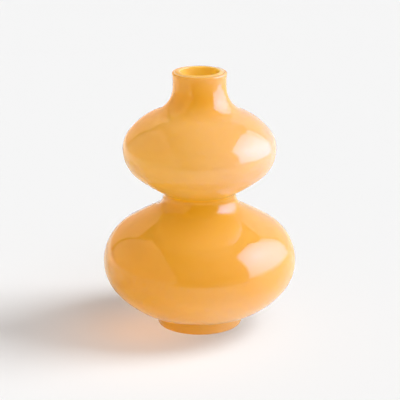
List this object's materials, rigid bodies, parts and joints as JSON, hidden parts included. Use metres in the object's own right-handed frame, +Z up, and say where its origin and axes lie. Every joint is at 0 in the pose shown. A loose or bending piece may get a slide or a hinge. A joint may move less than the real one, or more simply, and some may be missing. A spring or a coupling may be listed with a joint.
{
  "type": "gourd vase",
  "caption": "Double-gourd flower vase in cased opal glass, with a short neck and a thick, nearly flat rim, a narrow waist and a ring foot.",
  "frame": {"origin": "centre of the ring face that the vase rests on", "axes": "+Z up along the vase's axis and out of its mouth; the vase is round, so +X and +Y are any two directions at right angles"},
  "size_m": [0.1338, 0.1338, 0.18],
  "materials": {
    "clear_glass": "clear, fire-polished",
    "opal_glass": "amber opal, glossy"
  },
  "bodies": {
    "root": {"clear_casing": "clear_glass", "opal_layer": "opal_glass"}
  },
  "joints": []
}
